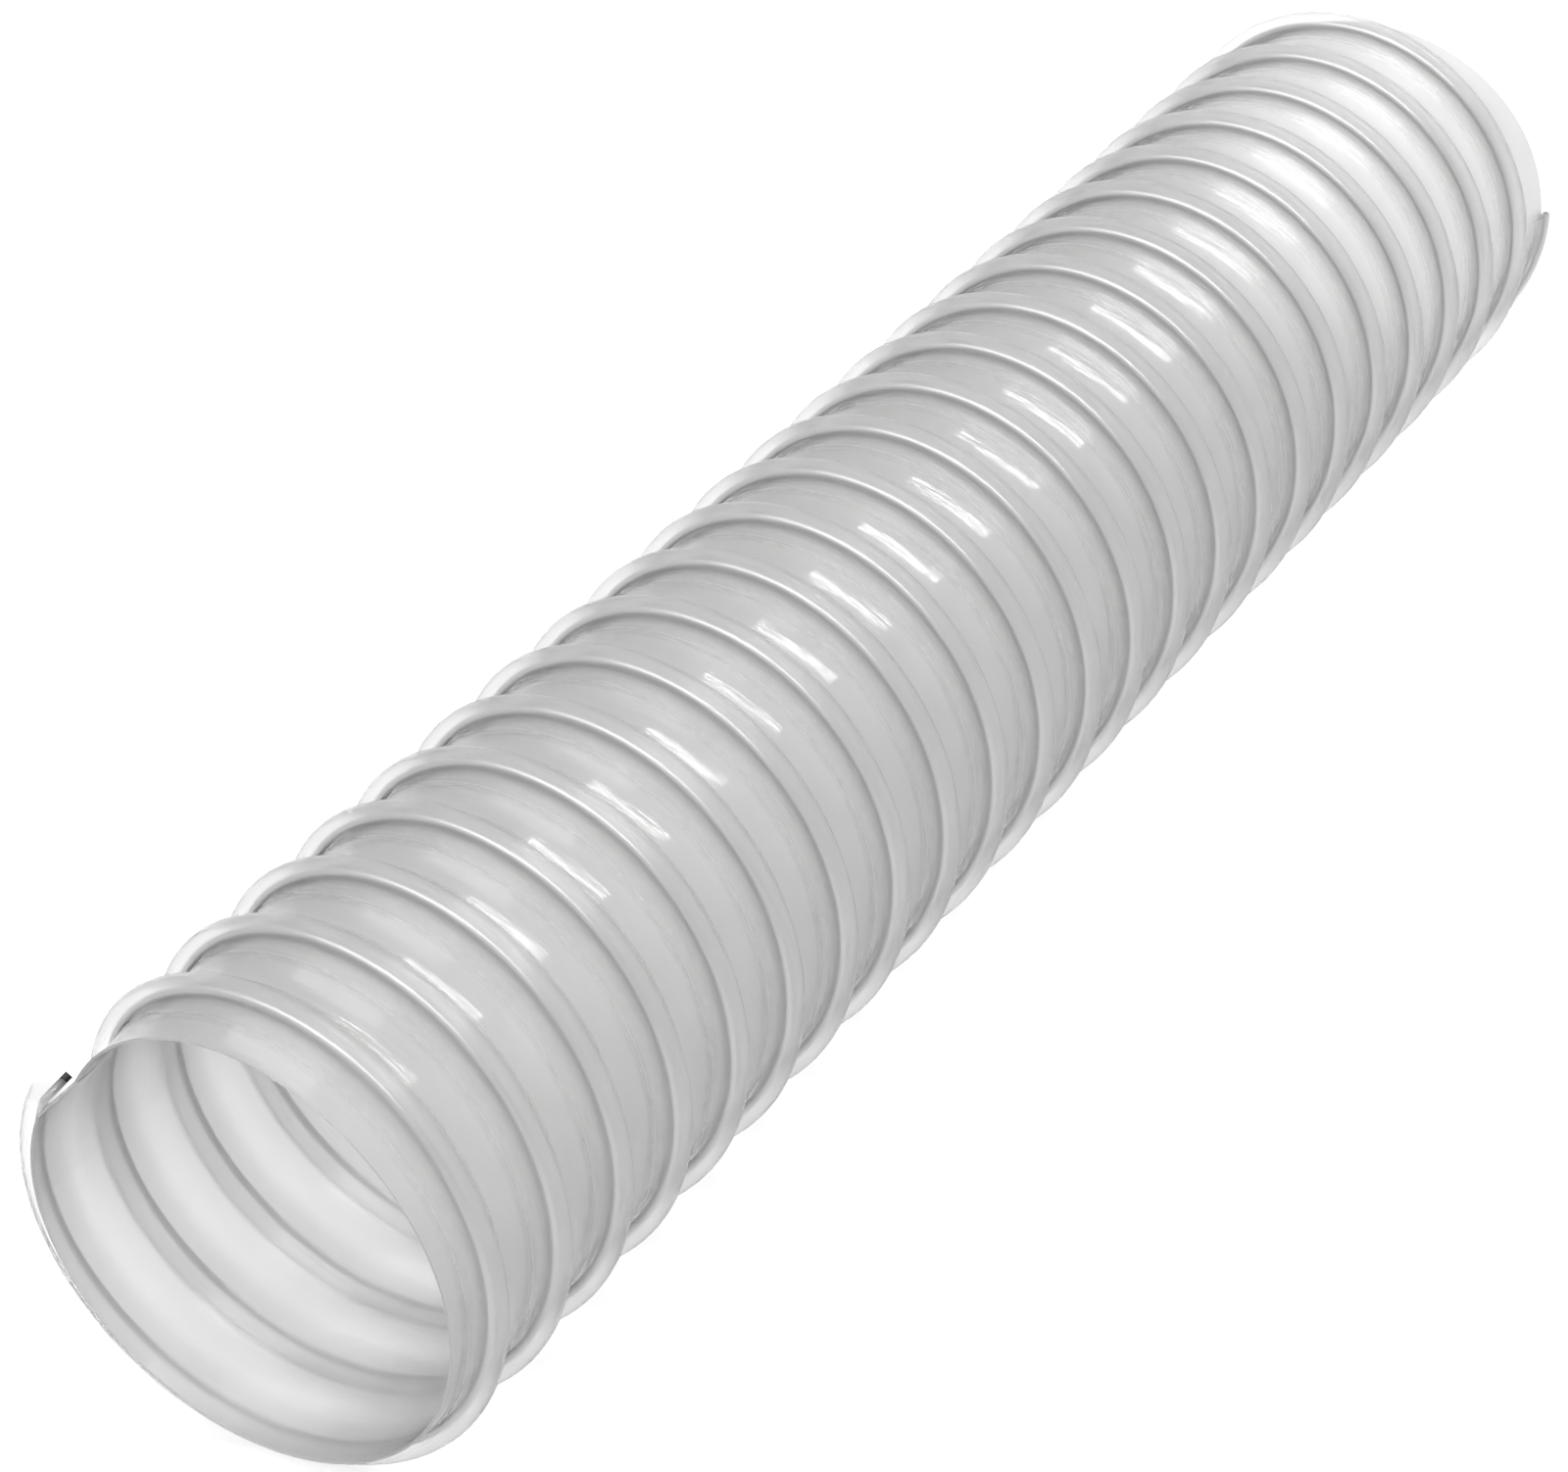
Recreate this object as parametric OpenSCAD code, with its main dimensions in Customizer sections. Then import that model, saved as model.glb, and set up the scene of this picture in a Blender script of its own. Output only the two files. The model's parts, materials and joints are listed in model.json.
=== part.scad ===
// Wire-wound clear flexible air duct, drawn straight and lying on the floor.
// A thin film wall carries a spring-steel wire wound as a left-handed helix, and an
// arched bead strip of the same film is welded over the wire. X runs along the duct
// from the near mouth, +Z is up. The film wall comes in sleeves and the bead in lengths
// so that the duct can bend: each hinge lies where one length of bead ends and the next
// begins, on a line through the duct's axis, so the wire passes through every hinge line.

/* [Duct wall] */
// Inside diameter of the wall, which slips over a spigot of the same nominal size
bore_d = 100; // [80:1:160]
// Thickness of the wall film
wall_t = 0.6; // [0.4:0.1:1]

/* [Wire] */
// Diameter of the spring-steel wire
wire_d = 1.8; // [1.2:0.1:2.4]
// Distance along the duct from one turn of the wire to the next
pitch = 22.2; // [19:0.2:28]
// Whole turns of the wire
whole_turns = 23; // [12:1:24]
// How far the wire runs on after its whole turns, in degrees
last_turn_angle = 210; // [30:15:345]
// Where the wire starts at the near mouth, in degrees up from +Y
start_angle = 30; // [0:15:345]

/* [Bead] */
// Width of the bead strip where it meets the wall
bead_w = 9; // [7:0.5:11]
// Width of the bead strip's top, over the wire
bead_top_w = 3.4; // [2.4:0.1:5]
// Thickness of the bead strip over the wire
bead_t = 2.7; // [0.6:0.1:3.2]
// Free space between the wire and the bead strip around it
wire_clearance = 0.1; // [0.05:0.05:0.3]
// Space between the wall and what is wound on it, which the weld fills
seat_gap = 0.2; // [0.15:0.05:0.5]

/* [Bending] */
// Shortest stretch at the near mouth that stays round and straight on its spigot
near_end = 50; // [40:1:80]
// Shortest stretch at the far mouth that stays round and straight on its spigot
far_end = 60; // [40:1:80]
// Turn of the bead between one hinge and the next, in degrees
hinge_turn = 270; // [270:180:450]
// Space between the ends of two lengths of bead at a hinge
hinge_gap = 1.2; // [1:0.1:2]
// Depth of the flat that the duct's weight presses into the bead's underside
flat_depth = 0.5; // [0.3:0.1:0.6]

/* [Hidden] */
$fn = 96;
// The helix is drawn with this angle between its rings, and a chord lies square
// across the top, bottom and both sides, so the duct rests on chords.
ring_step = 15;
wire_sides = 6;

bore_r = bore_d / 2;
wall_r = bore_r + wall_t;
bead_r = wall_r + seat_gap;
wire_r = bead_r + wire_d / 2;
groove_h = wire_d + wire_clearance;
bead_h = groove_h + bead_t;
crest_r = bead_r + bead_h;
groove_w = wire_d + 2 * wire_clearance;

wire_turn = 360 * whole_turns + last_turn_angle;
duct_len = pitch * wire_turn / 360;

// Hinges lie where the wire crosses a side (y = +-r) and, hinge_turn on, the top or
// bottom (z = +-r), in turn, so half of them bend the duct up and half sideways.
first_hinge = start_angle
    + 180 * ceil((360 * near_end / pitch - start_angle) / 180);
hinge_count = 1 + floor((wire_turn - 360 * far_end / pitch - first_hinge) / hinge_turn);
sleeve_len = pitch * hinge_turn / 360;

function two_digits(i) = str(i < 10 ? "0" : "", i);
function hinge_at(i) = first_hinge + hinge_turn * (i - 1);
function along(turn) = pitch * turn / 360;
function sleeve_start(i) = along(hinge_at(i)) - sleeve_len / 2;

// Angle up from +Y at which the wire lies after a turn of so many degrees.
function angle_at(turn) = start_angle - turn;
// How much further out than a chord's middle the path runs at this angle.
function reach(angle) =
    let (past = (angle - ring_step / 2) - ring_step * floor((angle - ring_step / 2) / ring_step))
    1 / cos(past - ring_step / 2);
// A point beside the helix: turn along it, then axial and radial place across it.
function helix_point(turn, axial, radius) =
    let (angle = angle_at(turn), r = radius * reach(angle))
    [along(turn) + axial, r * cos(angle), r * sin(angle)];
// Turns at which rings stand between two ends: both ends, and each chord's corner.
function ring_turns(from, to) =
    let (first = start_angle + ring_step / 2)
    concat(
        [from],
        [for (k = [ceil((from - first) / ring_step + 0.02) : floor((to - first) / ring_step - 0.02)])
            first + ring_step * k],
        [to]
    );
// Triangles of a closed tube whose rings hold so many corners, capped with cap.
function skin(rings, sides, cap) = concat(
    [for (i = [0 : rings - 2], j = [0 : sides - 1])
        let (next = (j + 1) % sides, a = i * sides, b = a + sides)
        each [[a + j, a + next, b + j], [a + next, b + next, b + j]]],
    [for (t = cap) [t[2], t[1], t[0]]],
    [for (t = cap) [for (v = t) v + (rings - 1) * sides]]
);

// The wire's section as axial and radial corners about its own centre.
wire_section = [for (j = [0 : wire_sides - 1])
    let (a = 360 * j / wire_sides + 30) [cos(a), sin(a)] * wire_d / 2];
wire_cap = [for (j = [1 : wire_sides - 2]) [0, j, j + 1]];
// The bead's section, an arch with a groove that the wire lies in.
bead_section = [
    [bead_w / 2, 0],
    [bead_top_w / 2, bead_h],
    [-bead_top_w / 2, bead_h],
    [-bead_w / 2, 0],
    [-groove_w / 2, 0],
    [-groove_w / 2, groove_h],
    [groove_w / 2, groove_h],
    [groove_w / 2, 0]
];
bead_cap = [[0, 1, 7], [1, 6, 7], [1, 2, 6], [2, 5, 6], [2, 4, 5], [2, 3, 4]];

wire_turns = ring_turns(0, wire_turn);
function wire_ring(turn) = [for (c = wire_section) helix_point(turn, c[0], wire_r + c[1])];

// Least space between neighbouring turns of the wire, ring against ring.
self_gap = min([for (j = [0 : wire_sides - 1], k = [0 : wire_sides - 1])
    let (a = wire_ring(0)[j], b = wire_ring(360)[k]) norm(a - b)]);
echo(least_gap_between_wire_turns = self_gap, turns = wire_turn / 360);
echo(duct_len = duct_len, crest_r = crest_r, hinges = hinge_count,
    hinge_x = [for (i = [1 : hinge_count]) along(hinge_at(i))]);

// A sleeve of wall film from one place along the duct to another.
module sleeve(from, to) {
    color("gainsboro", 0.5)
        translate([from, 0, 0])
            rotate([0, 90, 0])
                difference() {
                    cylinder(h = to - from, r = wall_r);
                    translate([0, 0, -1])
                        cylinder(h = to - from + 2, r = bore_r);
                }
}

// A length of bead strip, pressed flat where it touches the floor.
module bead(from, to) {
    turns = ring_turns(from, to);
    lowest = -crest_r + flat_depth;
    color("lightgray", 0.6)
        intersection() {
            polyhedron(
                [for (t = turns, c = bead_section) helix_point(t, c[0], bead_r + c[1])],
                skin(len(turns), len(bead_section), bead_cap),
                convexity = 10
            );
            translate([along(from) - bead_w, -crest_r - bead_h, lowest])
                cube([along(to) - along(from) + 2 * bead_w, 2 * (crest_r + bead_h), 2 * crest_r]);
        }
}

module wire_helix() {
    color("dimgray")
        polyhedron(
            [for (t = wire_turns) each wire_ring(t)],
            skin(len(wire_turns), wire_sides, wire_cap),
            convexity = 10
        );
}

// Half of the space at a hinge, as a turn of the bead.
half_gap = hinge_gap / 2 / wire_r * 180 / PI;

sleeve(0, sleeve_start(1));  // wall_near_end
sleeve(sleeve_start(hinge_count + 1), duct_len);  // wall_far_end
for (i = [1 : hinge_count])
    sleeve(sleeve_start(i), sleeve_start(i + 1));

bead(0, hinge_at(1) - half_gap);  // bead_near_end
bead(hinge_at(hinge_count) + half_gap, wire_turn);  // bead_far_end
for (i = [1 : hinge_count - 1])
    bead(hinge_at(i) + half_gap, hinge_at(i + 1) - half_gap);

wire_helix();
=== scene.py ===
"""A clear flexible air duct: a film wall, a steel wire wound round it and a bead strip over the wire."""

import json
import math
from typing import NamedTuple

import bmesh
import bpy
from bpy.props import FloatProperty, FloatVectorProperty, IntProperty, PointerProperty
from mathutils import Matrix, Vector

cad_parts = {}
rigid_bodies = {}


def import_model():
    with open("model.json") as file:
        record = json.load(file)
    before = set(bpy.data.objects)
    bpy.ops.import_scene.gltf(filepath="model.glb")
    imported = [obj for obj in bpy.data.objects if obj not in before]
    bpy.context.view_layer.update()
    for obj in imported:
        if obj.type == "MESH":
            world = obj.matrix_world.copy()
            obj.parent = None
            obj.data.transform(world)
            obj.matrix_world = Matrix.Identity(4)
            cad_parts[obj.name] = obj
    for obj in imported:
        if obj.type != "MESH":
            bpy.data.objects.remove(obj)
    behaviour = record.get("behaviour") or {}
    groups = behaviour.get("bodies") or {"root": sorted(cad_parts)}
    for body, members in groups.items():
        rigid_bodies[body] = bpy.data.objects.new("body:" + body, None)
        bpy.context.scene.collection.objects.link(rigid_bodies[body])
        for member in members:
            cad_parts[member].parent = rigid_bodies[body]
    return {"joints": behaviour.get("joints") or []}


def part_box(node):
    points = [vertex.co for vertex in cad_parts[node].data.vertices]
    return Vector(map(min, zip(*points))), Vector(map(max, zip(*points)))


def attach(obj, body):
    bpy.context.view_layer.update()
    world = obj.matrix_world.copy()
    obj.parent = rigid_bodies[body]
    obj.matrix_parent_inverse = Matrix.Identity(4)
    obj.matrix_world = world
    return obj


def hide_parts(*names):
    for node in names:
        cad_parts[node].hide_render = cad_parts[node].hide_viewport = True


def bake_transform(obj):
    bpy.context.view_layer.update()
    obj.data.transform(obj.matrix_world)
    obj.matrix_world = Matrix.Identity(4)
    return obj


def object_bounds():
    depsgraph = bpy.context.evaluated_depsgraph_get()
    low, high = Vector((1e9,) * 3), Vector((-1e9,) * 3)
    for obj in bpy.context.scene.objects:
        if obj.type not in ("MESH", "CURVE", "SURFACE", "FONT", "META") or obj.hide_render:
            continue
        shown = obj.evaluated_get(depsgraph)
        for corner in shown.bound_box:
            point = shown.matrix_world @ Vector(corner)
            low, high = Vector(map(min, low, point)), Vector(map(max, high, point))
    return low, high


bl_info = {
    "name": "Clear Wire-Wound Duct",
    "version": (1, 0, 0),
    "blender": (4, 5, 0),
    "location": "3D View > Sidebar > Duct",
    "description": "Dresses a flexible air duct in clear film, a bead strip and a steel wire",
    "category": "Object",
}

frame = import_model()
cad_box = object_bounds()

# The wire turns this far between one hinge and the next, and lies on the duct's -Y side at the first one.
HINGE_TURN = 270.0
FIRST_HINGE_ANGLE = 180.0


def hinges_in_order():
    """Each hinge's place along the duct and the bodies on its near and far sides."""
    found = []
    body = "near_end"
    for joint in sorted(frame["joints"], key=lambda j: j["pos_m"][0]):
        pair = [joint["parent"], joint["child"]]
        pair.remove(body)
        found.append((joint["pos_m"][0], body, pair[0]))
        body = pair[0]
    return found


HINGES = hinges_in_order()
HINGE_STEP = HINGES[1][0] - HINGES[0][0]
PITCH = HINGE_STEP * 360.0 / HINGE_TURN
DUCT_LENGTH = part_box("wall_far_end")[1].x
WALL_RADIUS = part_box("wall_near_end")[1].z
CREST_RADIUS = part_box("bead_near_end")[1].z
WIRE_DIAMETER = 0.0018
# Radius of the helix that the middle of the wire follows.
WIRE_RADIUS = (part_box("wire_helix")[1].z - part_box("wire_helix")[0].z) / 2 - WIRE_DIAMETER / 2
# Height of the flats that are pressed into the bead's underside.
FLOOR_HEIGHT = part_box("bead_12")[0].z


def turn_at(place):
    """How far the wire has turned, in degrees, at a place along the duct."""
    return 360.0 * place / PITCH


START_ANGLE = (FIRST_HINGE_ANGLE + turn_at(HINGES[0][0])) % 360.0
FAR_ANGLE = (START_ANGLE - turn_at(DUCT_LENGTH)) % 360.0

# The near mouth's edge leans by this much in a turn, and this share of it stands out past a square cut.
NEAR_LEAN = 0.0105
NEAR_SHARE = 0.34
# The far mouth's edge is cut on the slant, this far back on average and this much more or less, but nowhere
# nearer than this beyond the wire.
FAR_BACK = 0.0075
FAR_SLANT = 0.0070
FAR_MARGIN = 0.0015
# The lean and the slant have faded to nothing this far in, and outside a mouth they grow up to this share.
EDGE_REACH = 0.034
EDGE_GROWTH = 1.3

# The bead sinks between these two places, in degrees before the wire's far end, to this share of its height.
TAPER_FROM = 80.0
TAPER_TO = 12.0
BEAD_END_HEIGHT = 0.45
# The wire starts this far before the bead at the near mouth, in degrees.
WIRE_OVERHANG = 0.6
# This height lies below the whole wire, because it is pressed flat nowhere.
NO_FLAT = -1.0

# The bead's section has this many steps across it. Its foot sinks into the wall by this much at its edges,
# and the higher the power, the nearer to an edge it starts to sink.
BEAD_STEPS = 28
BEAD_SUNK = 0.00012
BEAD_EDGE_POWER = 8
WIRE_CORNERS = 16

# How fast the wall film's soft creases change along the duct, across it and up it.
CREASE_GRAIN = (260.0, 26.0, 26.0)
# A grid's points run from -0.5 to 0.5, and those of its two spare rings lie further out than this.
SPARE_RING = 0.49999
# Points nearer to each other than this are merged, which closes the seam of a grid that is rolled up.
SEAM_GAP = 0.000002


# ---------------------------------------------------------------- sizes and colours


class DuctSizes(bpy.types.PropertyGroup):
    """The sizes that the frame doesn't give."""

    wall_thickness: FloatProperty(
        name="Wall Thickness", description="Thickness of the wall film", default=0.0006, unit="LENGTH"
    )
    wall_draw: FloatProperty(
        name="Wall Draw-In",
        description="How far the film draws in half-way between two turns of the wire",
        default=0.0008,
        unit="LENGTH",
    )
    wall_crease: FloatProperty(
        name="Wall Crease", description="Depth of the film's soft creases", default=0.00008, unit="LENGTH"
    )
    seat: FloatProperty(
        name="Seat", description="Space between the wall and the bead strip", default=0.00015, unit="LENGTH"
    )
    wire_diameter: FloatProperty(
        name="Wire Diameter", description="Diameter of the steel wire", default=WIRE_DIAMETER, unit="LENGTH"
    )
    bead_width: FloatProperty(
        name="Bead Width", description="Width of the bead strip on the wall", default=0.0165, unit="LENGTH"
    )
    bead_fullness: FloatProperty(
        name="Bead Fullness",
        description="Less than 1 for a blunter crest, more for a sharper one",
        default=0.8,
    )
    around: IntProperty(name="Points Around", description="Corners round the wall", default=144, min=24)
    along: IntProperty(
        name="Rings Along", description="Rings of wall film between two hinges", default=14, min=4
    )
    ring_turn: FloatProperty(
        name="Ring Turn", description="Turn of the wire between two rings, in degrees", default=3.0, min=1.0
    )


class DuctColours(bpy.types.PropertyGroup):
    """The colours and finishes of film, bead and wire."""

    film: FloatVectorProperty(
        name="Film",
        description="What a pass through the wall film leaves of white light",
        subtype="COLOR",
        default=(0.785, 0.787, 0.784),
        min=0.0,
        max=1.0,
    )
    bead: FloatVectorProperty(
        name="Bead",
        description="What a pass through the bead strip leaves of white light",
        subtype="COLOR",
        default=(0.82, 0.822, 0.82),
        min=0.0,
        max=1.0,
    )
    wire: FloatVectorProperty(
        name="Wire", description="Colour of the drawn steel", subtype="COLOR", default=(0.54, 0.54, 0.54)
    )
    floor: FloatVectorProperty(
        name="Floor", description="Colour of the floor", subtype="COLOR", default=(0.95, 0.95, 0.95)
    )


class DuctStudio(bpy.types.PropertyGroup):
    """Camera, light and floor."""

    camera_place: FloatVectorProperty(
        name="Camera Place",
        description="Where the camera stands",
        subtype="TRANSLATION",
        unit="LENGTH",
        default=(-0.486, -0.4577, 0.5695),
    )
    camera_view: FloatVectorProperty(
        name="Camera View",
        description="Direction in which the camera looks",
        subtype="DIRECTION",
        default=(0.6885, 0.4551, -0.5647),
    )
    camera_roll: FloatProperty(
        name="Camera Roll",
        description="How far the camera leans to its right",
        subtype="ANGLE",
        default=math.radians(3.24),
    )
    lens: FloatProperty(name="Lens", description="Focal length in millimetres", default=100.0)
    world_strength: FloatProperty(name="Sky Strength", description="Strength of the white sky", default=1.0)
    key_direction: FloatVectorProperty(
        name="Key Direction",
        description="Where the strip light stands, seen from the duct",
        subtype="DIRECTION",
        default=(0.69, -0.11, 0.70),
    )
    key_size: FloatProperty(
        name="Key Size", description="Length of the strip light", default=1.1, unit="LENGTH"
    )
    key_power: FloatProperty(name="Key Power", description="Power of the strip light in watts", default=6.0)
    top_direction: FloatVectorProperty(
        name="Top Direction",
        description="Where the large softbox stands, seen from the duct",
        subtype="DIRECTION",
        default=(0.15, 0.35, 1.0),
    )
    top_size: FloatProperty(
        name="Top Size", description="Side of the large softbox", default=1.4, unit="LENGTH"
    )
    top_power: FloatProperty(
        name="Top Power", description="Power of the large softbox in watts", default=12.0
    )


def sizes():
    """The sizes, as the scene holds them."""
    return bpy.context.scene.duct_sizes


def colours():
    """The colours, as the scene holds them."""
    return bpy.context.scene.duct_colours


def studio():
    """The studio's settings, as the scene holds them."""
    return bpy.context.scene.duct_studio


# ---------------------------------------------------------------- node helpers


def add_node(tree, kind, inputs=None, **settings):
    """Adds a node with its settings, and puts a value or another node's output into each input."""
    made = tree.nodes.new(kind)
    for name, value in settings.items():
        setattr(made, name, value)
    for key, value in (inputs or {}).items():
        socket = made.inputs[key]
        if isinstance(value, bpy.types.NodeSocket):
            tree.links.new(value, socket)
        else:
            socket.default_value = value
    return made


def calc(tree, operation, first, second=0.0):
    """A Math node's output."""
    return add_node(tree, "ShaderNodeMath", {0: first, 1: second}, operation=operation).outputs[0]


def scaled(tree, vector, factor):
    """A vector or a colour times one number."""
    return add_node(tree, "ShaderNodeVectorMath", {0: vector, "Scale": factor}, operation="SCALE").outputs[0]


def stretched(tree, vector, factors):
    """A vector with each of its parts times its own number."""
    return add_node(tree, "ShaderNodeVectorMath", {0: vector, 1: factors}, operation="MULTIPLY").outputs[0]


def new_group(name, kind, inputs, outputs):
    """A node group with those named inputs and outputs, and its two end nodes."""
    tree = bpy.data.node_groups.new(name, kind)
    for label, socket_type, default in inputs:
        socket = tree.interface.new_socket(label, in_out="INPUT", socket_type=socket_type)
        if default is not None:
            socket.default_value = default
    for label, socket_type in outputs:
        tree.interface.new_socket(label, in_out="OUTPUT", socket_type=socket_type)
    return tree, tree.nodes.new("NodeGroupInput"), tree.nodes.new("NodeGroupOutput")


def modifier_mesh(name, source_mesh, tree, values):
    """The plain mesh that a Geometry Nodes tree makes of a mesh, with those values in its named inputs."""
    carrier = bpy.data.objects.new(name, source_mesh)
    bpy.context.scene.collection.objects.link(carrier)
    modifier = carrier.modifiers.new("Shape", "NODES")
    modifier.node_group = tree
    for item in tree.interface.items_tree:
        if item.item_type == "SOCKET" and item.in_out == "INPUT" and item.name in values:
            modifier[item.identifier] = values[item.name]
    depsgraph = bpy.context.evaluated_depsgraph_get()
    mesh = bpy.data.meshes.new_from_object(carrier.evaluated_get(depsgraph), depsgraph=depsgraph)
    carrier.modifiers.clear()
    bpy.data.objects.remove(carrier)
    return mesh


# ---------------------------------------------------------------- shapes by Geometry Nodes


def place_on_duct(tree, along, radius, angle, lowest=None):
    """A point's position from its place along the duct, its radius and its angle up from +Y in radians."""
    height = calc(tree, "MULTIPLY", radius, calc(tree, "SINE", angle))
    if lowest is not None:
        height = calc(tree, "MAXIMUM", height, lowest)
    across = calc(tree, "MULTIPLY", radius, calc(tree, "COSINE", angle))
    return add_node(tree, "ShaderNodeCombineXYZ", {"X": along, "Y": across, "Z": height}).outputs[0]


def named_attribute(tree, geometry, name, value, data_type):
    """The geometry with a named attribute stored on its points."""
    return add_node(
        tree,
        "GeometryNodeStoreNamedAttribute",
        {"Geometry": geometry, "Name": name, "Value": value},
        data_type=data_type,
        domain="POINT",
    ).outputs["Geometry"]


def is_spare(tree, share):
    """True on a grid's first and last ring, which only steady the normals and are cut off again."""
    from_middle = calc(tree, "ABSOLUTE", calc(tree, "SUBTRACT", share, 0.5))
    return add_node(
        tree,
        "FunctionNodeCompare",
        {0: from_middle, 1: SPARE_RING},
        data_type="FLOAT",
        operation="GREATER_THAN",
    ).outputs[0]


def flat_grid(tree, rings, around):
    """A grid that is to be rolled up, and each point's share of the way along it and of the way round."""
    seam_points = calc(tree, "ADD", around, 1.0)
    grid = add_node(
        tree,
        "GeometryNodeMeshGrid",
        {"Size X": 1.0, "Size Y": 1.0, "Vertices X": rings, "Vertices Y": seam_points},
    ).outputs["Mesh"]
    place = add_node(
        tree, "ShaderNodeSeparateXYZ", {0: add_node(tree, "GeometryNodeInputPosition").outputs[0]}
    ).outputs
    return grid, calc(tree, "ADD", place["X"], 0.5), calc(tree, "ADD", place["Y"], 0.5)


def closing_nodes(tree, geometry, material):
    """Merges the seam, smooths the faces and sets the material."""
    geometry = add_node(
        tree, "GeometryNodeMergeByDistance", {"Geometry": geometry, "Distance": SEAM_GAP}
    ).outputs["Geometry"]
    geometry = add_node(tree, "GeometryNodeSetShadeSmooth", {"Geometry": geometry}).outputs["Geometry"]
    geometry = add_node(tree, "GeometryNodeRealizeInstances", {"Geometry": geometry}).outputs["Geometry"]
    return add_node(
        tree, "GeometryNodeSetMaterial", {"Geometry": geometry, "Material": material}
    ).outputs["Geometry"]


def edge_offset(tree, degrees, near):
    """How far a mouth's edge lies from a square cut, at an angle up from +Y in degrees."""
    if near:
        turned = calc(tree, "FLOORED_MODULO", calc(tree, "SUBTRACT", START_ANGLE, degrees), 360.0)
        share = calc(tree, "SUBTRACT", calc(tree, "DIVIDE", turned, 360.0), NEAR_SHARE)
        return calc(tree, "MULTIPLY", share, NEAR_LEAN)
    back = calc(tree, "FLOORED_MODULO", calc(tree, "SUBTRACT", degrees, FAR_ANGLE), 360.0)
    slant = calc(tree, "MULTIPLY", calc(tree, "COSINE", calc(tree, "RADIANS", back)), FAR_SLANT)
    slant = calc(tree, "SUBTRACT", slant, FAR_BACK)
    beside_wire = calc(tree, "SUBTRACT", FAR_MARGIN, calc(tree, "MULTIPLY", back, PITCH / 360.0))
    return calc(tree, "MAXIMUM", slant, beside_wire)


def shift_edge(tree, along, degrees, shift, near):
    """Moves the film near a mouth so that its edge lies as edge_offset says, times shift."""
    side = 1.0 if near else -1.0
    mouth = 0.0 if near else DUCT_LENGTH
    inward = calc(tree, "MULTIPLY", calc(tree, "SUBTRACT", along, mouth), side / EDGE_REACH)
    fade = calc(tree, "MAXIMUM", calc(tree, "SUBTRACT", 1.0, inward), 0.0)
    fade = calc(tree, "MINIMUM", fade, EDGE_GROWTH)
    offset = calc(tree, "MULTIPLY", edge_offset(tree, degrees, near), shift)
    return calc(tree, "ADD", along, calc(tree, "MULTIPLY", offset, fade))


def make_winding_tree():
    """Sweeps a closed section, given as a mesh of points, along the wire's helix."""
    tree, start, end = new_group(
        "Winding",
        "GeometryNodeTree",
        [
            ("Section", "NodeSocketGeometry", None),
            ("Section Points", "NodeSocketInt", 12),
            ("Rings", "NodeSocketInt", 10),
            ("First Turn", "NodeSocketFloat", 0.0),
            ("Last Turn", "NodeSocketFloat", 270.0),
            ("Pitch", "NodeSocketFloat", PITCH),
            ("Start Angle", "NodeSocketFloat", START_ANGLE),
            ("Lowest", "NodeSocketFloat", FLOOR_HEIGHT),
            ("End Height", "NodeSocketFloat", 1.0),
            ("Material", "NodeSocketMaterial", None),
        ],
        [("Geometry", "NodeSocketGeometry")],
    )
    value = start.outputs
    grid, share, share_round = flat_grid(tree, value["Rings"], value["Section Points"])
    corner = calc(tree, "ROUND", calc(tree, "MULTIPLY", share_round, value["Section Points"]))
    corner = calc(tree, "MODULO", corner, value["Section Points"])
    section_point = add_node(
        tree,
        "GeometryNodeSampleIndex",
        {
            "Geometry": value["Section"],
            "Value": add_node(tree, "GeometryNodeInputPosition").outputs[0],
            "Index": corner,
        },
        data_type="FLOAT_VECTOR",
        domain="POINT",
    ).outputs[0]
    section = add_node(tree, "ShaderNodeSeparateXYZ", {0: section_point}).outputs
    reach = calc(tree, "SUBTRACT", value["Last Turn"], value["First Turn"])
    turn = calc(tree, "ADD", value["First Turn"], calc(tree, "MULTIPLY", reach, share))
    degrees = calc(tree, "SUBTRACT", value["Start Angle"], turn)
    angle = calc(tree, "RADIANS", degrees)
    helix_place = calc(tree, "MULTIPLY", value["Pitch"], calc(tree, "DIVIDE", turn, 360.0))
    along = calc(tree, "ADD", helix_place, section["X"])
    # Neither end of the winding stands out past the edge of its mouth.
    along = calc(tree, "MAXIMUM", along, edge_offset(tree, degrees, True))
    far_edge = calc(tree, "ADD", edge_offset(tree, degrees, False), DUCT_LENGTH)
    along = calc(tree, "MINIMUM", along, far_edge)
    left = calc(tree, "SUBTRACT", turn_at(DUCT_LENGTH), turn)
    height = add_node(
        tree,
        "ShaderNodeMapRange",
        {"Value": left, "From Min": TAPER_TO, "From Max": TAPER_FROM, "To Min": value["End Height"]},
        interpolation_type="SMOOTHSTEP",
    ).outputs[0]
    raised = calc(tree, "MULTIPLY", calc(tree, "SUBTRACT", section["Y"], WALL_RADIUS), height)
    position = place_on_duct(tree, along, calc(tree, "ADD", raised, WALL_RADIUS), angle, value["Lowest"])
    wound = calc(tree, "MULTIPLY", calc(tree, "RADIANS", turn), section["Y"])
    winding = add_node(
        tree, "ShaderNodeCombineXYZ", {"X": wound, "Y": section["X"], "Z": section["Y"]}
    ).outputs[0]
    mesh = named_attribute(tree, grid, "winding", winding, "FLOAT_VECTOR")
    mesh = named_attribute(tree, mesh, "spare", is_spare(tree, share), "BOOLEAN")
    mesh = add_node(tree, "GeometryNodeSetPosition", {"Geometry": mesh, "Position": position}).outputs[0]
    tree.links.new(closing_nodes(tree, mesh, value["Material"]), end.inputs[0])
    return tree


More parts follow.
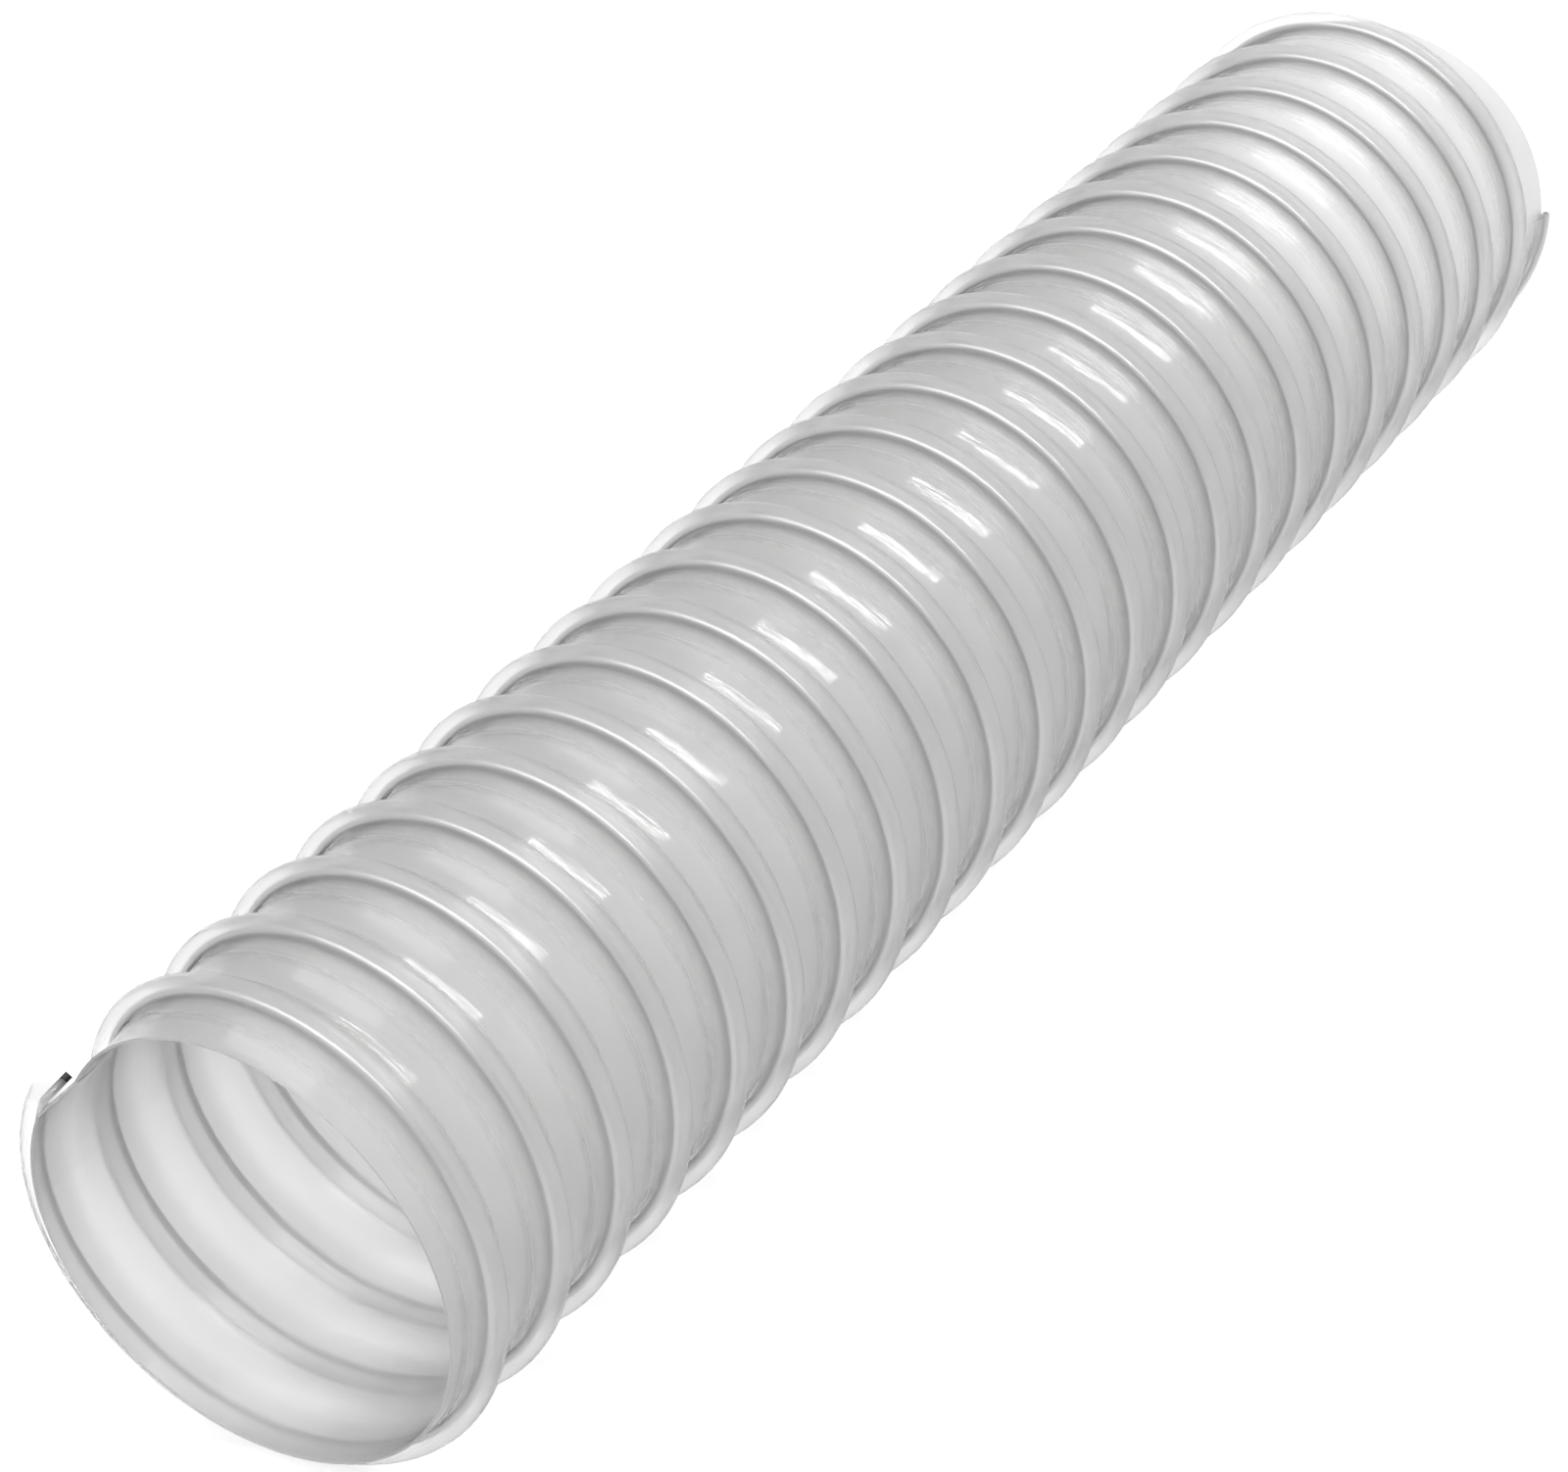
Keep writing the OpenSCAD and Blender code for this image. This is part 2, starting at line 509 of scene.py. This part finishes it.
def make_sleeve_tree():
    """A length of wall film: an outer and an inner skin, drawn in a little between turns of the wire."""
    tree, start, end = new_group(
        "Film Sleeve",
        "GeometryNodeTree",
        [
            ("Geometry", "NodeSocketGeometry", None),
            ("First Place", "NodeSocketFloat", 0.0),
            ("Last Place", "NodeSocketFloat", 0.1),
            ("Rings", "NodeSocketInt", 12),
            ("Points Around", "NodeSocketInt", 96),
            ("Radius", "NodeSocketFloat", WALL_RADIUS),
            ("Thickness", "NodeSocketFloat", 0.0006),
            ("Draw-In", "NodeSocketFloat", 0.0005),
            ("Crease", "NodeSocketFloat", 0.0001),
            ("Pitch", "NodeSocketFloat", PITCH),
            ("Start Angle", "NodeSocketFloat", START_ANGLE),
            ("Near Edge", "NodeSocketFloat", 0.0),
            ("Far Edge", "NodeSocketFloat", 0.0),
            ("Material", "NodeSocketMaterial", None),
        ],
        [("Geometry", "NodeSocketGeometry")],
    )
    value = start.outputs
    grid, share, share_round = flat_grid(tree, value["Rings"], value["Points Around"])
    reach = calc(tree, "SUBTRACT", value["Last Place"], value["First Place"])
    along = calc(tree, "ADD", value["First Place"], calc(tree, "MULTIPLY", reach, share))
    degrees = calc(tree, "MULTIPLY", share_round, 360.0)
    angle = calc(tree, "RADIANS", degrees)
    along = shift_edge(tree, along, degrees, value["Near Edge"], True)
    along = shift_edge(tree, along, degrees, value["Far Edge"], False)
    # Turns of the wire to this place: a whole number right under the wire.
    behind = calc(tree, "DIVIDE", calc(tree, "SUBTRACT", degrees, value["Start Angle"]), 360.0)
    turns = calc(tree, "ADD", calc(tree, "DIVIDE", along, value["Pitch"]), behind)
    wave = calc(tree, "COSINE", calc(tree, "MULTIPLY", turns, math.tau))
    away_from_wire = calc(tree, "SUBTRACT", 0.5, calc(tree, "MULTIPLY", wave, 0.5))
    drawn = calc(tree, "MULTIPLY", value["Draw-In"], away_from_wire)
    even = place_on_duct(tree, along, value["Radius"], angle)
    grain = stretched(tree, even, CREASE_GRAIN)
    noise = add_node(
        tree, "ShaderNodeTexNoise", {"Vector": grain, "Scale": 1.0, "Detail": 1.5, "Roughness": 0.4}
    ).outputs[0]
    twice_crease = calc(tree, "MULTIPLY", value["Crease"], 2.0)
    crease = calc(tree, "MULTIPLY", calc(tree, "SUBTRACT", noise, 0.5), twice_crease)
    outer = calc(tree, "SUBTRACT", calc(tree, "ADD", value["Radius"], crease), drawn)
    inner = calc(tree, "SUBTRACT", outer, value["Thickness"])
    wound = calc(tree, "MULTIPLY", angle, value["Radius"])
    winding = add_node(tree, "ShaderNodeCombineXYZ", {"X": wound, "Y": along, "Z": outer}).outputs[0]
    mesh = named_attribute(tree, grid, "winding", winding, "FLOAT_VECTOR")
    mesh = named_attribute(tree, mesh, "spare", is_spare(tree, share), "BOOLEAN")
    skins = []
    for radius in (outer, inner):
        position = place_on_duct(tree, along, radius, angle)
        skin = add_node(tree, "GeometryNodeSetPosition", {"Geometry": mesh, "Position": position}).outputs[0]
        skins.append(skin)
    skins[0] = add_node(tree, "GeometryNodeFlipFaces", {"Mesh": skins[0]}).outputs[0]
    joined = add_node(tree, "GeometryNodeJoinGeometry")
    for skin in skins:
        tree.links.new(skin, joined.inputs[0])
    tree.links.new(closing_nodes(tree, joined.outputs[0], value["Material"]), end.inputs[0])
    return tree


# ---------------------------------------------------------------- plain meshes


def trim_and_cap(mesh, cap_near, cap_far, middle):
    """Cuts off the two spare rings but keeps their effect on the normals, and caps the ends that are cut.

    An open edge is near or far as it lies before or past the middle, a place along the duct.
    """
    spare = [item.value for item in mesh.attributes["spare"].data]
    normals = [v.normal.copy() for v, cut in zip(mesh.vertices, spare) if not cut]
    shape = bmesh.new()
    shape.from_mesh(mesh)
    shape.verts.ensure_lookup_table()
    bmesh.ops.delete(shape, geom=[shape.verts[i] for i, cut in enumerate(spare) if cut], context="VERTS")
    old_faces = len(shape.faces)
    ends = {True: [], False: []}
    for edge in shape.edges:
        if edge.is_boundary:
            ends[edge.verts[0].co.x < middle].append(edge)
    for near, wanted in ((True, cap_near), (False, cap_far)):
        if wanted:
            close_end(shape, ends[near])
    shape.to_mesh(mesh)
    shape.free()
    corner_normals = []
    for polygon in mesh.polygons:
        is_cap = polygon.index >= old_faces
        polygon.use_smooth = not is_cap
        for corner in polygon.vertices:
            corner_normals.append(polygon.normal.copy() if is_cap else normals[corner])
    mesh.normals_split_custom_set(corner_normals)
    mesh.attributes.remove(mesh.attributes["spare"])
    return mesh


def close_end(shape, edges):
    """Closes one loop with a face, or two loops with a ring of faces, facing out of the mesh."""
    if count_loops(edges) == 1:
        made = bmesh.ops.contextual_create(shape, geom=edges)["faces"]
    else:
        made = bmesh.ops.bridge_loops(shape, edges=edges)["faces"]
    for face in made:
        for edge in face.edges:
            others = [neighbour for neighbour in edge.link_faces if neighbour not in made]
            if others:
                # Two neighbouring faces that agree run along their shared edge in opposite directions.
                if first_vert(face, edge) == first_vert(others[0], edge):
                    face.normal_flip()
                break


def first_vert(face, edge):
    """The vertex from which a face runs along one of its edges."""
    return next(corner.vert for corner in face.loops if corner.edge == edge)


def count_loops(edges):
    """How many separate loops those edges make."""
    left = set(edges)
    count = 0
    while left:
        count += 1
        front = [left.pop()]
        while front:
            edge = front.pop()
            for vert in edge.verts:
                for near in vert.link_edges:
                    if near in left:
                        left.remove(near)
                        front.append(near)
    return count


def section_mesh(points):
    """A mesh of points only, each at (place along the duct, radius, 0)."""
    mesh = bpy.data.meshes.new("section")
    mesh.from_pydata([(along, radius, 0.0) for along, radius in points], [], [])
    return mesh


def wire_section():
    """Corners of the wire's round section."""
    radius = sizes().wire_diameter / 2
    angles = [math.tau * i / WIRE_CORNERS for i in range(WIRE_CORNERS)]
    return [(radius * math.cos(angle), WIRE_RADIUS + radius * math.sin(angle)) for angle in angles]


def bead_section():
    """Corners of the bead strip's section: an arch over the wire, and a foot along the drawn-in wall."""
    half = sizes().bead_width / 2
    places = [half * (1.0 - 2.0 * i / BEAD_STEPS) for i in range(BEAD_STEPS + 1)]

    def wall(along):
        """Radius of the wall beside the wire, with the seat on it, which sinks into it at the edges."""
        drawn = sizes().wall_draw * (0.5 - 0.5 * math.cos(math.tau * along / PITCH))
        edge = (along / half) ** BEAD_EDGE_POWER
        return WALL_RADIUS - drawn + sizes().seat * (1.0 - edge) - BEAD_SUNK * edge

    def rise(along):
        """Share of the full height, from none at an edge to all of it at the crest."""
        return (0.5 + 0.5 * math.cos(math.pi * along / half)) ** sizes().bead_fullness

    height = CREST_RADIUS - wall(0.0)
    arch = [(along, wall(along) + height * rise(along)) for along in places]
    below = [(along, wall(along)) for along in reversed(places[2:-2:2])]
    return arch + below


def winding_mesh(name, tree, section, turns, cuts, inputs):
    """A length of bead or wire between two turns, closed where it is cut off near or far."""
    first_turn, last_turn = turns
    rings = max(2, round((last_turn - first_turn) / sizes().ring_turn)) + 1
    step = (last_turn - first_turn) / (rings - 1)
    mesh = modifier_mesh(
        name,
        section,
        tree,
        {
            "Section Points": len(section.vertices),
            "Rings": rings + 2,
            "First Turn": first_turn - step,
            "Last Turn": last_turn + step,
            **inputs,
        },
    )
    cut_near, cut_far = cuts
    middle = PITCH * (first_turn + last_turn) / 2 / 360.0
    return trim_and_cap(mesh, cut_near, cut_far, middle)


def new_piece(name, mesh):
    """An object of that mesh, at the origin."""
    mesh.name = name
    piece = bpy.data.objects.new(name, mesh)
    bpy.context.scene.collection.objects.link(piece)
    return piece


def add_winding(prefix, cad_prefix, section_points, start_turn, inputs):
    """The bead strip or the wire: a plain length at each mouth and a length over each hinge."""
    tree = make_winding_tree()
    section = section_mesh(section_points)
    half_turn = HINGE_TURN / 2
    first, last = turn_at(HINGES[0][0]) - half_turn, turn_at(HINGES[-1][0]) + half_turn
    ends = (
        ("near_end", (start_turn, first), (True, False)),
        ("far_end", (last, turn_at(DUCT_LENGTH)), (False, True)),
    )
    for body, turns, cuts in ends:
        name = f"{prefix}_{body}"
        piece = new_piece(name, winding_mesh(name, tree, section, turns, cuts, inputs))
        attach(piece, body)
        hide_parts(*cad_names(cad_prefix, (body,)))
    # Each length runs this far to both sides of its hinge.
    for number, (place, near_body, far_body) in enumerate(HINGES, 1):
        turn = turn_at(place)
        turns = (turn - half_turn, turn + half_turn)
        name = f"{prefix}_bend_{number:02d}"
        piece = new_piece(name, winding_mesh(name, tree, section, turns, (False, False), inputs))
        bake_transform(piece)
        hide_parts(*cad_names(cad_prefix, (near_body, far_body)))


def cad_names(cad_prefix, bodies):
    """The CAD nodes of the bead on those bodies, or the one node of the wire."""
    if cad_prefix == "wire":
        return ["wire_helix"]
    return [f"bead_{body.replace('turn_', '')}" for body in bodies]


# ---------------------------------------------------------------- finishes


class FilmFinish(NamedTuple):
    """Values of a clear film's material that are the same all over it."""

    roughness: float
    ior: float
    transmission: float
    # Share of a lamp's light that each skin stops.
    shadow: float
    # Height of the streaks, in metres.
    bump: float
    # Weight of the smooth face over the hazy film.
    coat: float
    # The film fades out between these distances from the middle of its winding.
    fade_from: float
    fade_to: float
    # How much darker it is where it is seen edge-on.
    deepen: float


# The wall's film fades nowhere: both its distances lie far past the duct.
WALL_FINISH = FilmFinish(
    roughness=0.50,
    ior=1.20,
    transmission=0.80,
    shadow=0.04,
    bump=0.00008,
    coat=0.75,
    fade_from=5.0,
    fade_to=6.0,
    deepen=0.55,
)
BEAD_FINISH = FilmFinish(
    roughness=0.90,
    ior=1.05,
    transmission=0.84,
    shadow=0.02,
    bump=0.00009,
    coat=0.20,
    fade_from=0.0030,
    fade_to=0.0080,
    deepen=0.28,
)
COAT_IOR = 1.5
COAT_ROUGHNESS = 0.05

# How fast the streaks change along the winding, across it and outwards, against their scale.
STREAK_STRETCH = (0.06, 1.0, 0.3)
# The fine lines on the drawn wire change this fast along it, across it and outwards.
WIRE_GRAIN = (40.0, 4000.0, 4000.0)
# The wire is this dark at its end by the near mouth, and has its full colour this far from that end.
END_DARK_TONE = 0.12
END_DARK_LENGTH = 0.0015


def winding_place(tree):
    """A piece's own coordinates: the way along its winding, the place across it and the radius."""
    return add_node(tree, "ShaderNodeAttribute", attribute_name="winding").outputs["Vector"]


def make_film_group():
    """Soft streaks that run along the winding, shared by the wall film and the bead strip."""
    tree, start, end = new_group(
        "Film Streaks",
        "ShaderNodeTree",
        [
            ("Colour", "NodeSocketColor", (0.8, 0.8, 0.8, 1.0)),
            ("Roughness", "NodeSocketFloat", 0.35),
            ("Streak Strength", "NodeSocketFloat", 0.05),
            ("Streak Scale", "NodeSocketFloat", 900.0),
        ],
        [
            ("Colour", "NodeSocketColor"),
            ("Roughness", "NodeSocketFloat"),
            ("Height", "NodeSocketFloat"),
        ],
    )
    value = start.outputs
    winding = winding_place(tree)
    streak = add_node(
        tree,
        "ShaderNodeTexNoise",
        {"Vector": stretched(tree, winding, STREAK_STRETCH), "Scale": value["Streak Scale"], "Detail": 3.0},
    ).outputs[0]
    cloud = add_node(
        tree, "ShaderNodeTexNoise", {"Vector": winding, "Scale": 45.0, "Detail": 2.0}
    ).outputs[0]
    twice_strength = calc(tree, "MULTIPLY", value["Streak Strength"], 2.0)
    swing = calc(tree, "MULTIPLY", calc(tree, "SUBTRACT", cloud, 0.5), twice_strength)
    tinted = scaled(tree, value["Colour"], calc(tree, "ADD", 1.0, swing))
    rough_swing = calc(tree, "MULTIPLY", calc(tree, "SUBTRACT", streak, 0.5), value["Streak Strength"])
    tree.links.new(tinted, end.inputs["Colour"])
    tree.links.new(calc(tree, "ADD", value["Roughness"], rough_swing), end.inputs["Roughness"])
    tree.links.new(streak, end.inputs["Height"])
    return tree


def new_material(name):
    """A material with only a Principled shader and its output."""
    material = bpy.data.materials.new(name)
    material.use_nodes = True
    shader = material.node_tree.nodes["Principled BSDF"]
    return material, material.node_tree, shader


def film_material(name, colour, finish):
    """Clear film, hazy inside and smooth on its face."""
    material, tree, shader = new_material(name)
    group = bpy.data.node_groups.get("Film Streaks") or make_film_group()
    streaks = add_node(tree, "ShaderNodeGroup", node_tree=group)
    streaks.inputs["Colour"].default_value = (*colour, 1.0)
    streaks.inputs["Roughness"].default_value = finish.roughness
    slant = add_node(tree, "ShaderNodeLayerWeight", {"Blend": 0.5}).outputs["Facing"]
    tone = calc(tree, "SUBTRACT", 1.0, calc(tree, "MULTIPLY", slant, finish.deepen))
    tree.links.new(scaled(tree, streaks.outputs["Colour"], tone), shader.inputs["Base Color"])
    tree.links.new(streaks.outputs["Roughness"], shader.inputs["Roughness"])
    bumped = add_node(
        tree, "ShaderNodeBump", {"Height": streaks.outputs["Height"], "Distance": finish.bump}
    ).outputs[0]
    tree.links.new(bumped, shader.inputs["Normal"])
    tree.links.new(bumped, shader.inputs["Coat Normal"])
    # Shadow rays and matt surfaces' rays pass the film unbent, but for the share that it stops.
    path = add_node(tree, "ShaderNodeLightPath").outputs
    is_light = calc(tree, "MAXIMUM", path["Is Shadow Ray"], path["Is Diffuse Ray"])
    seen = calc(tree, "SUBTRACT", 1.0, calc(tree, "MULTIPLY", is_light, 1.0 - finish.shadow))
    across = add_node(tree, "ShaderNodeSeparateXYZ", {0: winding_place(tree)}).outputs["Y"]
    fade = add_node(
        tree,
        "ShaderNodeMapRange",
        {
            "Value": calc(tree, "ABSOLUTE", across),
            "From Min": finish.fade_from,
            "From Max": finish.fade_to,
            "To Min": 1.0,
            "To Max": 0.0,
        },
        interpolation_type="SMOOTHSTEP",
    ).outputs[0]
    tree.links.new(calc(tree, "MULTIPLY", seen, fade), shader.inputs["Alpha"])
    shader.inputs["IOR"].default_value = finish.ior
    shader.inputs["Transmission Weight"].default_value = finish.transmission
    shader.inputs["Coat Weight"].default_value = finish.coat
    shader.inputs["Coat IOR"].default_value = COAT_IOR
    shader.inputs["Coat Roughness"].default_value = COAT_ROUGHNESS
    return material


def wire_material(colour):
    """Drawn spring steel with fine lines along the wire."""
    material, tree, shader = new_material("drawn_steel")
    winding = winding_place(tree)
    drawn = stretched(tree, winding, WIRE_GRAIN)
    lines = add_node(tree, "ShaderNodeTexNoise", {"Vector": drawn, "Scale": 1.0, "Detail": 2.0}).outputs[0]
    ramp = add_node(tree, "ShaderNodeMapRange", {"Value": lines, "To Min": 0.25, "To Max": 0.42}).outputs[0]
    tree.links.new(ramp, shader.inputs["Roughness"])
    tone = add_node(tree, "ShaderNodeMapRange", {"Value": lines, "To Min": 0.85, "To Max": 1.1}).outputs[0]
    from_start = add_node(tree, "ShaderNodeSeparateXYZ", {0: winding}).outputs["X"]
    # The wire gets darker towards its end at the near mouth.
    end_dark = add_node(
        tree,
        "ShaderNodeMapRange",
        {"Value": from_start, "From Min": 0.0, "From Max": END_DARK_LENGTH, "To Min": END_DARK_TONE},
    ).outputs[0]
    tinted = scaled(tree, (*colour,), calc(tree, "MULTIPLY", tone, end_dark))
    tree.links.new(tinted, shader.inputs["Base Color"])
    shader.inputs["Metallic"].default_value = 1.0
    return material


def floor_material(colour):
    """Plain matt floor with a faint mottle."""
    material, tree, shader = new_material("pale_floor")
    place = add_node(tree, "ShaderNodeTexCoord").outputs["Object"]
    mottle = add_node(tree, "ShaderNodeTexNoise", {"Vector": place, "Scale": 3.0}).outputs[0]
    tone = add_node(tree, "ShaderNodeMapRange", {"Value": mottle, "To Min": 0.99, "To Max": 1.01}).outputs[0]
    tree.links.new(scaled(tree, (*colour,), tone), shader.inputs["Base Color"])
    shader.inputs["Roughness"].default_value = 0.9
    shader.inputs["Specular IOR Level"].default_value = 0.0
    return material


# ---------------------------------------------------------------- operators


# Half the side of the floor, and how far both lights stand from the middle of the duct.
FLOOR_REACH = 4.0
LIGHT_DISTANCE = 1.6
# Width of the strip light as a share of its length.
STRIP_SLIMNESS = 0.08
# Width of the camera's sensor, in millimetres.
SENSOR_WIDTH = 36.0


class DUCT_OT_add_wall(bpy.types.Operator):
    """Add the film wall, as a sleeve at each end and one over each hinge"""

    bl_idname = "duct.add_wall"
    bl_label = "Film Wall"

    def execute(self, context):
        tree = make_sleeve_tree()
        material = film_material("clear_film", colours().film, WALL_FINISH)
        half = HINGE_STEP / 2
        first, last = HINGES[0][0] - half, HINGES[-1][0] + half
        for body, start, stop in (("near_end", 0.0, first), ("far_end", last, DUCT_LENGTH)):
            piece = self.sleeve(f"film_{body}", tree, start, stop, material)
            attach(piece, body)
            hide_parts(f"wall_{body}")
        for number, (place, near_body, far_body) in enumerate(HINGES, 1):
            piece = self.sleeve(f"film_bend_{number:02d}", tree, place - half, place + half, material)
            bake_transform(piece)
            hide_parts(f"wall_bend_{number:02d}")
        return {"FINISHED"}

    def sleeve(self, name, tree, start, stop, material):
        """One sleeve of film from one place along the duct to another."""
        rings = round((stop - start) / HINGE_STEP * sizes().along) + 1
        step = (stop - start) / (rings - 1)
        mesh = modifier_mesh(
            name,
            bpy.data.meshes.new("start"),
            tree,
            {
                "First Place": start - step,
                "Last Place": stop + step,
                "Rings": rings + 2,
                "Points Around": sizes().around,
                "Thickness": sizes().wall_thickness,
                "Draw-In": sizes().wall_draw,
                "Crease": sizes().wall_crease,
                "Near Edge": 1.0 if start == 0.0 else 0.0,
                "Far Edge": 1.0 if stop == DUCT_LENGTH else 0.0,
                "Material": material,
            },
        )
        trim_and_cap(mesh, start == 0.0, stop == DUCT_LENGTH, (start + stop) / 2)
        return new_piece(name, mesh)


class DUCT_OT_add_bead(bpy.types.Operator):
    """Add the bead strip that is welded over the wire"""

    bl_idname = "duct.add_bead"
    bl_label = "Bead Strip"

    def execute(self, context):
        material = film_material("clear_bead", colours().bead, BEAD_FINISH)
        inputs = {"Material": material, "Lowest": FLOOR_HEIGHT, "End Height": BEAD_END_HEIGHT}
        add_winding("strip", "bead", bead_section(), 0.0, inputs)
        return {"FINISHED"}


class DUCT_OT_add_wire(bpy.types.Operator):
    """Add the spring-steel wire"""

    bl_idname = "duct.add_wire"
    bl_label = "Wire"

    def execute(self, context):
        inputs = {"Material": wire_material(colours().wire), "Lowest": NO_FLAT, "End Height": 1.0}
        add_winding("coil", "wire", wire_section(), -WIRE_OVERHANG, inputs)
        return {"FINISHED"}


class DUCT_OT_add_stage(bpy.types.Operator):
    """Add the floor, the light and the camera"""

    bl_idname = "duct.add_stage"
    bl_label = "Stage"

    def execute(self, context):
        scene = context.scene
        self.add_floor()
        self.add_sky(scene)
        settings = studio()
        strip = settings.key_size * STRIP_SLIMNESS
        self.add_softbox("key_light", settings.key_direction, settings.key_size, strip, settings.key_power)
        side = settings.top_size
        self.add_softbox("top_light", settings.top_direction, side, side, settings.top_power)
        self.add_camera(scene)
        scene.view_settings.view_transform = "Standard"
        scene.cycles.max_bounces = 16
        scene.cycles.transmission_bounces = 16
        scene.cycles.transparent_max_bounces = 32
        scene.cycles.caustics_refractive = False
        scene.cycles.caustics_reflective = False
        scene.cycles.use_denoising = True
        return {"FINISHED"}

    def add_floor(self):
        """A wide floor that the bead's flats rest on."""
        mesh = bpy.data.meshes.new("floor")
        signs = [(-1, -1), (1, -1), (1, 1), (-1, 1)]
        corners = [(x * FLOOR_REACH, y * FLOOR_REACH, cad_box[0].z) for x, y in signs]
        mesh.from_pydata(corners, [], [(0, 1, 2, 3)])
        mesh.materials.append(floor_material(colours().floor))
        floor = bpy.data.objects.new("floor", mesh)
        bpy.context.scene.collection.objects.link(floor)

    def add_sky(self, scene):
        """An even white sky."""
        world = bpy.data.worlds.new("white_sky")
        world.use_nodes = True
        sky = world.node_tree.nodes["Background"]
        sky.inputs["Color"].default_value = (1.0, 1.0, 1.0, 1.0)
        sky.inputs["Strength"].default_value = studio().world_strength
        scene.world = world

    def add_softbox(self, name, towards, length, width, power):
        """A softbox in that direction from the middle of the duct, its long side across the duct."""
        towards = Vector(towards).normalized()
        light = bpy.data.lights.new(name, "AREA")
        light.shape = "RECTANGLE"
        light.size = length
        light.size_y = width
        light.energy = power
        softbox = bpy.data.objects.new(name, light)
        place = Vector((DUCT_LENGTH / 2, 0.0, 0.0)) + towards * LIGHT_DISTANCE
        across = Vector((0.0, 1.0, 0.0))
        across = (across - towards * across.dot(towards)).normalized()
        turned = Matrix((across, towards.cross(across), towards)).transposed()
        softbox.matrix_world = Matrix.Translation(place) @ turned.to_4x4()
        bpy.context.scene.collection.objects.link(softbox)

    def add_camera(self, scene):
        """The camera, at the near mouth's side of the duct and above it."""
        settings = studio()
        data = bpy.data.cameras.new("camera")
        data.lens = settings.lens
        data.sensor_fit = "HORIZONTAL"
        data.sensor_width = SENSOR_WIDTH
        data.clip_start = 0.01
        data.clip_end = 20.0
        camera = bpy.data.objects.new("camera", data)
        view = Vector(settings.camera_view).normalized()
        level = view.to_track_quat("-Z", "Y").to_matrix()
        rolled = level @ Matrix.Rotation(-settings.camera_roll, 3, "Z")
        camera.matrix_world = Matrix.Translation(settings.camera_place) @ rolled.to_4x4()
        scene.collection.objects.link(camera)
        scene.camera = camera


class DUCT_PT_panel(bpy.types.Panel):
    """Lists the duct's pieces, sizes and colours"""

    bl_idname = "DUCT_PT_panel"
    bl_label = "Clear Duct"
    bl_space_type = "VIEW_3D"
    bl_region_type = "UI"
    bl_category = "Duct"

    def draw(self, context):
        for operator in (DUCT_OT_add_wall, DUCT_OT_add_bead, DUCT_OT_add_wire, DUCT_OT_add_stage):
            self.layout.operator(operator.bl_idname)
        for settings in (sizes(), colours(), studio()):
            box = self.layout.box()
            for name in settings.__annotations__:
                box.prop(settings, name)


CLASSES = (
    DuctSizes,
    DuctColours,
    DuctStudio,
    DUCT_OT_add_wall,
    DUCT_OT_add_bead,
    DUCT_OT_add_wire,
    DUCT_OT_add_stage,
    DUCT_PT_panel,
)


def register():
    """Registers the classes and hangs the settings on the scene."""
    for cls in CLASSES:
        bpy.utils.register_class(cls)
    bpy.types.Scene.duct_sizes = PointerProperty(type=DuctSizes)
    bpy.types.Scene.duct_colours = PointerProperty(type=DuctColours)
    bpy.types.Scene.duct_studio = PointerProperty(type=DuctStudio)


def unregister():
    """Takes away what register added."""
    for name in ("duct_sizes", "duct_colours", "duct_studio"):
        delattr(bpy.types.Scene, name)
    for cls in reversed(CLASSES):
        bpy.utils.unregister_class(cls)


def main():
    """Builds every piece, then the stage."""
    register()
    bpy.ops.duct.add_wall()
    bpy.ops.duct.add_bead()
    bpy.ops.duct.add_wire()
    bpy.ops.duct.add_stage()


if __name__ == "__main__":
    main()
